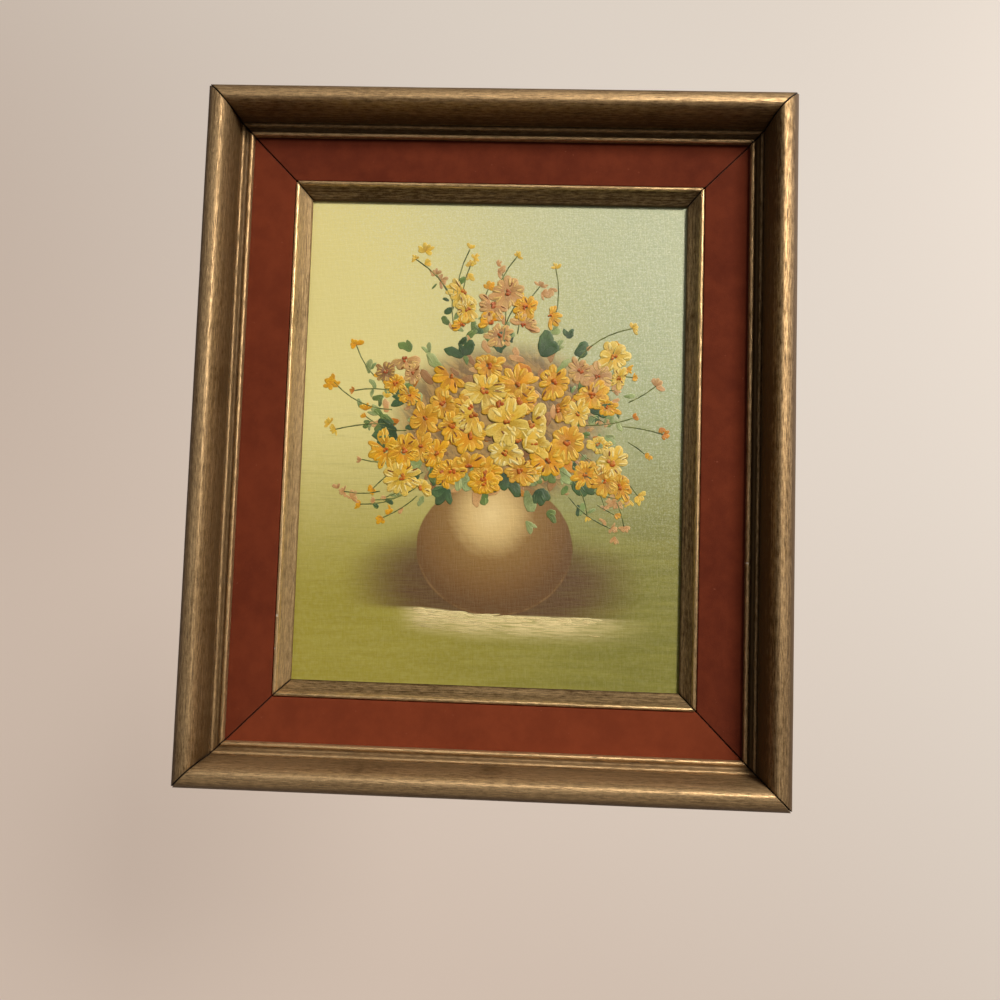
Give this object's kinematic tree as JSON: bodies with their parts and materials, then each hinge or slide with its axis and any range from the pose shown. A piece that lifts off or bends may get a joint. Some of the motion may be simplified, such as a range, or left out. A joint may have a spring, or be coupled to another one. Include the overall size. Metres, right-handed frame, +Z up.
{
  "type": "framed oil painting",
  "caption": "Small still life in oils on stretched canvas, in a gilt slip, a rust-red velvet liner and a deep, rounded bronze-gilt moulding, made to hang on a wall.",
  "frame": {"origin": "the middle notch of the sawtooth hanger, in the plane of the wall", "axes": "+Z up, -Y the way the picture faces, +Y into the wall, +X to the right as the picture is seen"},
  "size_m": [0.2818, 0.0421, 0.3325],
  "materials": {
    "bronze_gilt": "dark bronze gilt over open-grained wood, streaked and rubbed",
    "rust_velvet": "wood wrapped in matt rust-red velvet",
    "slip_gilt": "brownish gilt with fine streaks along its length",
    "painted_canvas": "oil paint on primed cloth, lightly varnished",
    "bare_pine": "bare planed pine",
    "zinc_steel": "zinc-plated, slightly dull"
  },
  "bodies": {
    "root": {"frame_rail_top": "bronze_gilt", "frame_rail_right": "bronze_gilt", "frame_rail_bottom": "bronze_gilt", "frame_rail_left": "bronze_gilt", "liner_rail_top": "rust_velvet", "liner_rail_right": "rust_velvet", "liner_rail_bottom": "rust_velvet", "liner_rail_left": "rust_velvet", "slip_rail_top": "slip_gilt", "slip_rail_right": "slip_gilt", "slip_rail_bottom": "slip_gilt", "slip_rail_left": "slip_gilt", "canvas": "painted_canvas", "stretcher_bar_top": "bare_pine", "stretcher_bar_right": "bare_pine", "stretcher_bar_bottom": "bare_pine", "stretcher_bar_left": "bare_pine", "hanger": "zinc_steel", "hanger_nail_left": "zinc_steel", "hanger_nail_right": "zinc_steel"}
  },
  "joints": []
}
